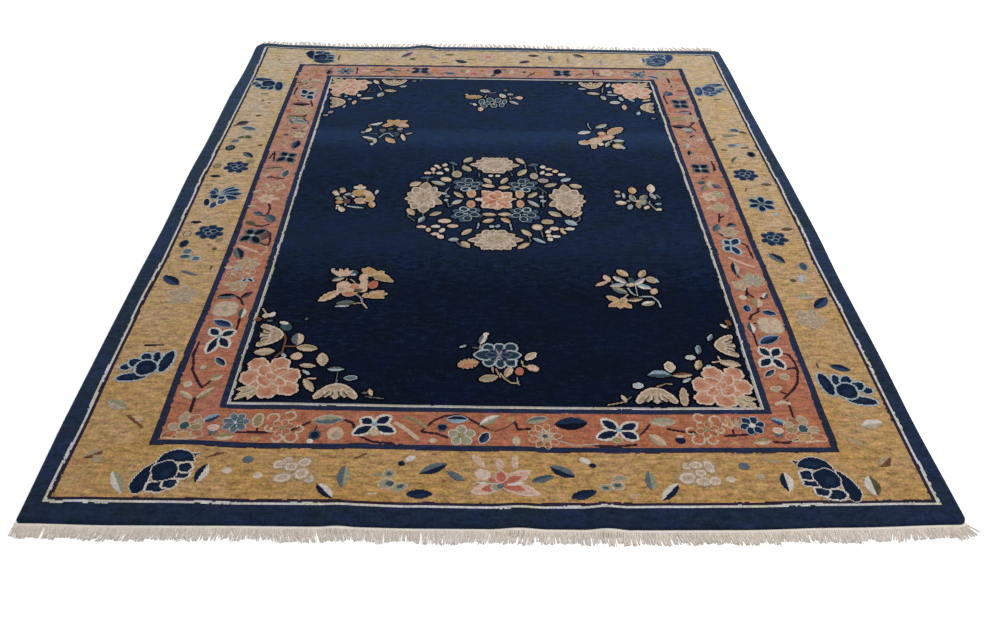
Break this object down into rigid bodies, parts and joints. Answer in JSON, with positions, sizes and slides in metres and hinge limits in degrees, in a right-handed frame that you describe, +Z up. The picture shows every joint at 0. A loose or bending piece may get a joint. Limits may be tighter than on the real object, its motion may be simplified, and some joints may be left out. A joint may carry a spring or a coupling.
{
  "type": "peking rug",
  "caption": "Rectangular hand-knotted wool rug lying flat, with a dark field, two flowered borders and cotton fringe at both ends.",
  "frame": {"origin": "centre of the rug's footprint, fringe included, on the floor under it", "axes": "+X across the rug, +Y along it from the near end to the far end, +Z up out of the pile"},
  "size_m": [2.7812, 3.655, 0.022],
  "materials": {
    "pile": "dense cut wool pile, matt with a faint sheen",
    "cotton": "undyed cotton yarn"
  },
  "bodies": {
    "root": {"rug_cloth": "pile", "fringe_near": "cotton", "fringe_far": "cotton"}
  },
  "joints": []
}
